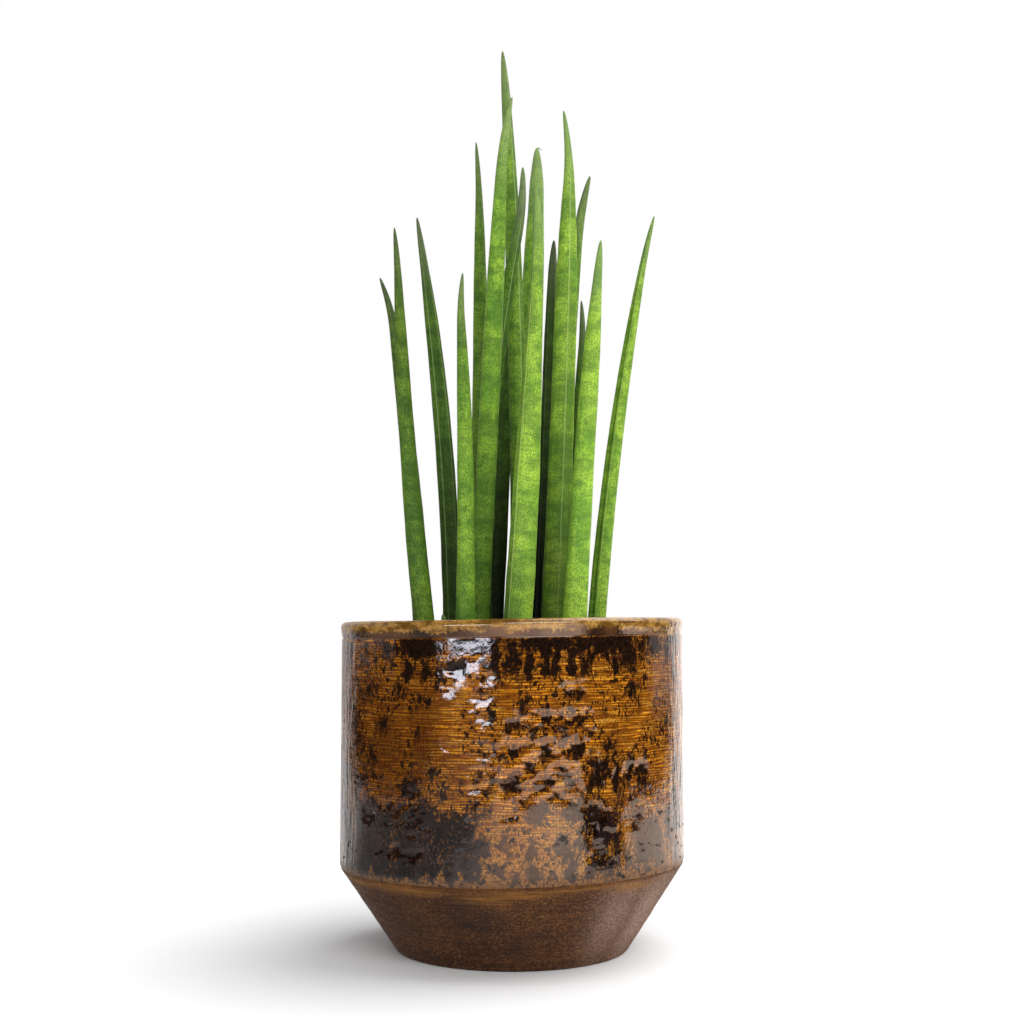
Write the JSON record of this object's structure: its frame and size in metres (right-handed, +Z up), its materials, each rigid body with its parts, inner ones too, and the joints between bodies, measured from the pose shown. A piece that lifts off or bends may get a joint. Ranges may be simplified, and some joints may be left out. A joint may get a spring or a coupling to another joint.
{
  "type": "potted mikado snake plant",
  "caption": "Potted cylindrical snake plant: upright round spear leaves standing in soil in a glazed clay pot with a bare conical foot.",
  "frame": {"origin": "middle of the pot's flat foot, on the surface it stands on", "axes": "+Z up along the pot's axis, -Y towards the viewer of the picture, +X to the viewer's right"},
  "size_m": [0.17, 0.17, 0.458],
  "materials": {
    "pot": "glossy amber-brown reactive glaze with dark blotches above the fold, bare matte brown clay below it",
    "soil": "dark crumbly potting soil with bits of bark",
    "leaf_young": "waxy yellow-green leaf skin with fine lengthwise lines and faint darker bands",
    "leaf_mid": "waxy mid-green leaf skin with fine lengthwise lines and darker bands",
    "leaf_deep": "waxy dark green leaf skin with a pale margin and darker bands"
  },
  "bodies": {
    "root": {"pot": "pot", "soil": "soil", "leaf_01": "leaf_mid", "leaf_02": "leaf_mid", "leaf_03": "leaf_deep", "leaf_04": "leaf_mid", "leaf_05": "leaf_deep", "leaf_06": "leaf_mid", "leaf_07": "leaf_deep", "leaf_08": "leaf_deep", "leaf_09": "leaf_young", "leaf_10": "leaf_mid", "leaf_11": "leaf_mid", "leaf_12": "leaf_deep", "leaf_13": "leaf_young", "leaf_14": "leaf_mid", "leaf_15": "leaf_young", "leaf_16": "leaf_deep", "leaf_17": "leaf_young", "leaf_18": "leaf_mid"}
  },
  "joints": []
}
